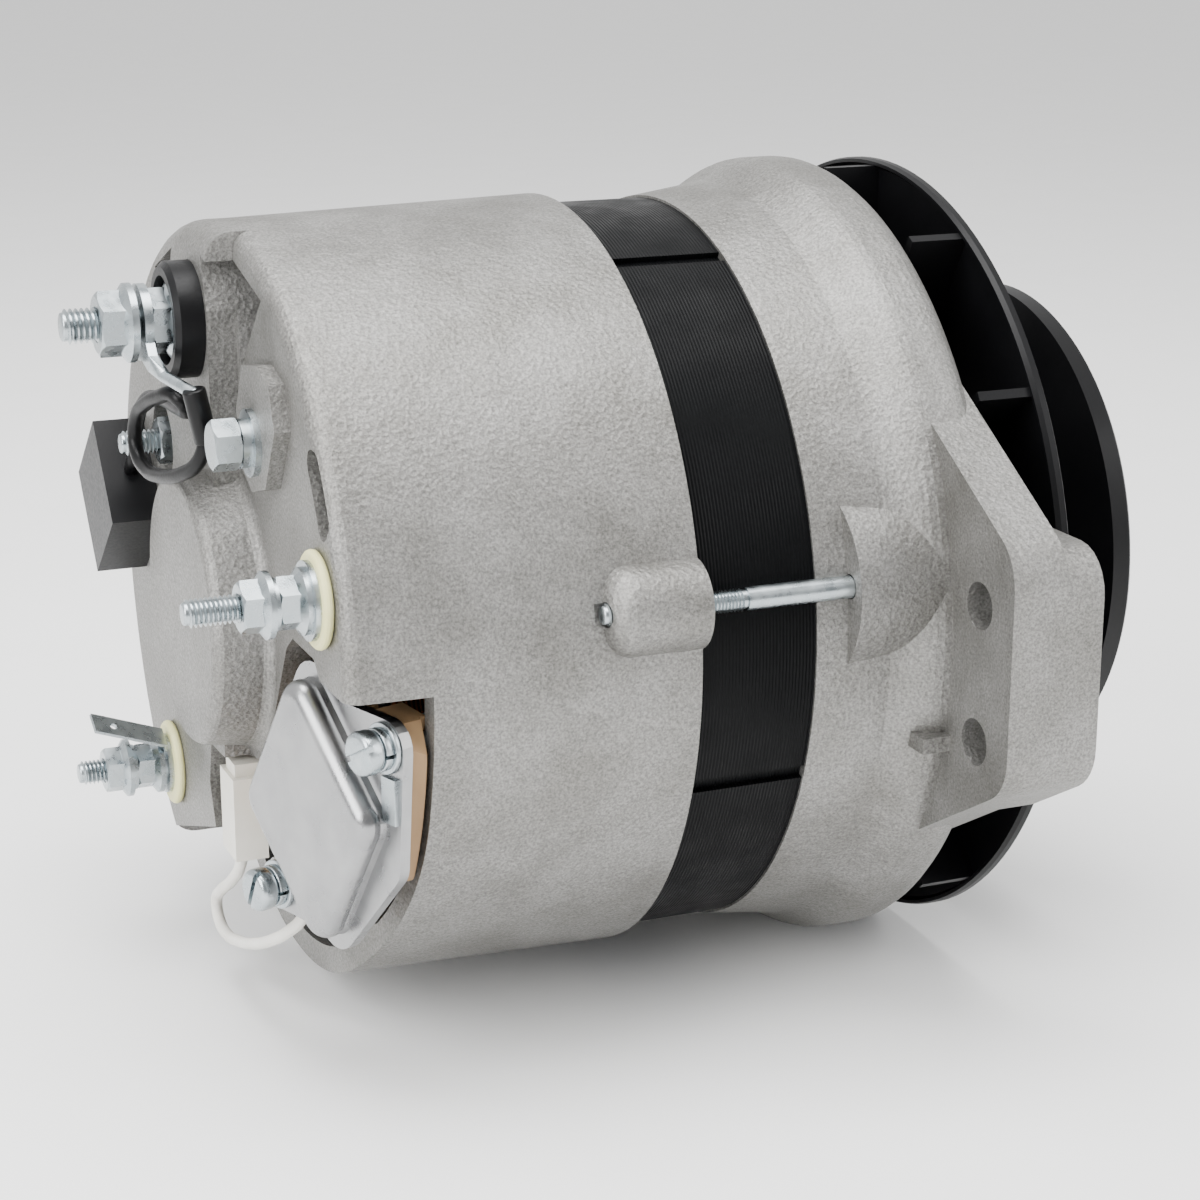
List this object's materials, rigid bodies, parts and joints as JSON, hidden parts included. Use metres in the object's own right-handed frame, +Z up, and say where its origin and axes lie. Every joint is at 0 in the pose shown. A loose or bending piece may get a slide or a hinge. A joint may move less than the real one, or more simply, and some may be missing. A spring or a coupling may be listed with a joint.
{
  "type": "alternator",
  "caption": "Claw-pole alternator with cast end housings, side mounting ear, external fan, split V-belt pulley, regulator, suppression capacitor and threaded output studs.",
  "frame": {"origin": "on the shaft's axis, at the middle of the pulley's belt groove", "axes": "+X along the shaft from the rear housing to the pulley, +Z up, and the mounting ear reaches out along -Y"},
  "size_m": [0.253, 0.2165, 0.192],
  "materials": {
    "cast_aluminium": "rough cast, matt",
    "lamination": "dark varnished steel laminations",
    "enamelled_copper": "enamelled copper wire",
    "bare_copper": "polished copper",
    "plated_steel": "zinc plated",
    "bearing_steel": "ground",
    "dark_iron": "varnished iron",
    "sheet_aluminium": "pressed sheet",
    "cover_metal": "satin pressed cover",
    "tan_plastic": "moulded phenolic",
    "black_plastic": "moulded",
    "white_plastic": "moulded",
    "yellow_plastic": "moulded insulator",
    "black_sleeve": "lead insulation",
    "white_sleeve": "lead insulation",
    "black_enamel": "gloss black enamel",
    "carbon": "graphite carbon",
    "bobbin_resin": "moulded bobbin"
  },
  "bodies": {
    "housing": {"rear_housing": "cast_aluminium", "drive_end_bracket": "cast_aluminium", "stator_core": "lamination", "stator_winding": "enamelled_copper", "through_bolts": "plated_steel", "positive_heat_sink": "sheet_aluminium", "negative_heat_sink": "sheet_aluminium", "rectifier_diodes": "plated_steel", "rectifier_screws": "plated_steel", "front_bearing_outer_race": "bearing_steel", "rear_bearing_outer_race": "bearing_steel", "bearing_retainer": "plated_steel", "retainer_screws": "plated_steel", "brush_holder": "tan_plastic", "regulator_cover": "cover_metal", "regulator_screws": "plated_steel", "regulator_tab": "plated_steel", "regulator_connector": "white_plastic", "regulator_lead": "white_sleeve", "capacitor": "black_plastic", "capacitor_screw": "plated_steel", "capacitor_lead": "black_sleeve", "output_collar": "black_plastic", "output_stud": "plated_steel", "output_nuts": "plated_steel", "ring_terminal": "plated_steel", "strap_stud": "plated_steel", "strap_stud_nut": "plated_steel", "dplus_insulator": "yellow_plastic", "dplus_stud": "plated_steel", "dplus_nuts": "plated_steel", "w_insulator": "yellow_plastic", "w_stud": "plated_steel", "w_nuts": "plated_steel", "blade_terminal": "plated_steel", "ground_screw": "plated_steel", "rear_brush_spring": "plated_steel", "front_brush_spring": "plated_steel"},
    "rotor": {"rotor_shaft": "bearing_steel", "rear_claw_pole": "dark_iron", "front_claw_pole": "dark_iron", "field_coil": "enamelled_copper", "coil_bobbin": "bobbin_resin", "slip_ring_hub": "tan_plastic", "slip_rings": "bare_copper", "front_bearing_inner_race": "bearing_steel", "rear_bearing_inner_race": "bearing_steel", "front_bearing_balls": "bearing_steel", "rear_bearing_balls": "bearing_steel", "fan": "black_enamel", "pulley_rear_half": "black_enamel", "pulley_front_half": "black_enamel", "pulley_key": "plated_steel", "spring_washer": "plated_steel", "pulley_nut": "plated_steel"},
    "rear_brush": {"rear_brush": "carbon"},
    "front_brush": {"front_brush": "carbon"}
  },
  "joints": [
    {"name": "rotor_spin", "type": "hinge", "parent": "housing", "child": "rotor", "pos_m": [0, 0, 0], "axis": [1, 0, 0], "continuous": true},
    {"name": "rear_brush_slide", "type": "slide", "parent": "housing", "child": "rear_brush", "axis": [0, 0, -1], "range_m": [0, 0.005], "stiffness_N_per_m": 200, "springref_m": -0.012, "deforming": ["rear_brush_spring"]},
    {"name": "front_brush_slide", "type": "slide", "parent": "housing", "child": "front_brush", "axis": [0, 0, -1], "range_m": [0, 0.005], "stiffness_N_per_m": 200, "springref_m": -0.012, "deforming": ["front_brush_spring"]}
  ]
}
